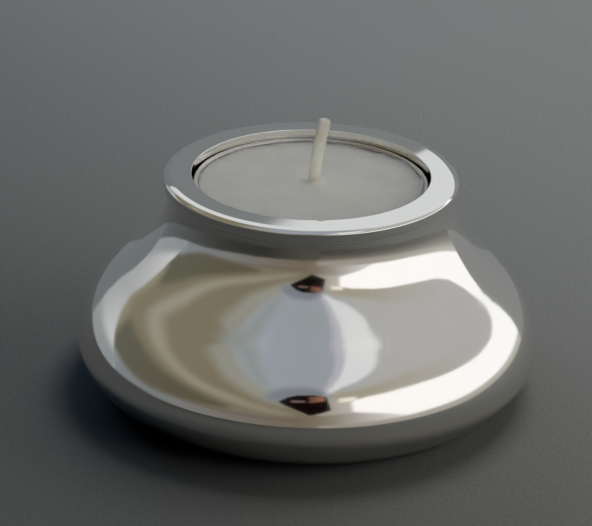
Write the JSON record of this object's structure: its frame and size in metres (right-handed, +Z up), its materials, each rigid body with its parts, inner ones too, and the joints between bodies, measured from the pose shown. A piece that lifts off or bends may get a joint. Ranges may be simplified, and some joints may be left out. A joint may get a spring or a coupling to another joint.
{
  "type": "tealight holder",
  "caption": "Squat polished silver tealight holder with a drawn-in neck, a flat round-edged rim and a felted base, with a tealight in its socket.",
  "frame": {"origin": "centre of the underside of the felt pad, on the surface that the holder stands on", "axes": "+Z up along the holder's axis of turning; the unlit wick leans towards +X"},
  "size_m": [0.0784, 0.0784, 0.0467],
  "materials": {
    "silver": "mirror polished silver plate",
    "weight_steel": "turned mild steel",
    "felt": "dark wool felt",
    "cup_aluminium": "thin pressed aluminium",
    "wax": "translucent paraffin wax",
    "sustainer_steel": "tinned steel",
    "wick_cotton": "waxed braided cotton"
  },
  "bodies": {
    "holder": {"body_shell": "silver", "rim_ring": "silver", "socket_cup": "silver", "weight_disc": "weight_steel", "base_plate": "silver", "base_pad": "felt"},
    "tealight": {"tealight_cup": "cup_aluminium", "wax": "wax", "wick_sustainer": "sustainer_steel", "wick": "wick_cotton"}
  },
  "joints": [
    {"name": "tealight_lift", "type": "slide", "parent": "holder", "child": "tealight", "axis": [0, 0, 1], "range_m": [0, 0.03]}
  ]
}
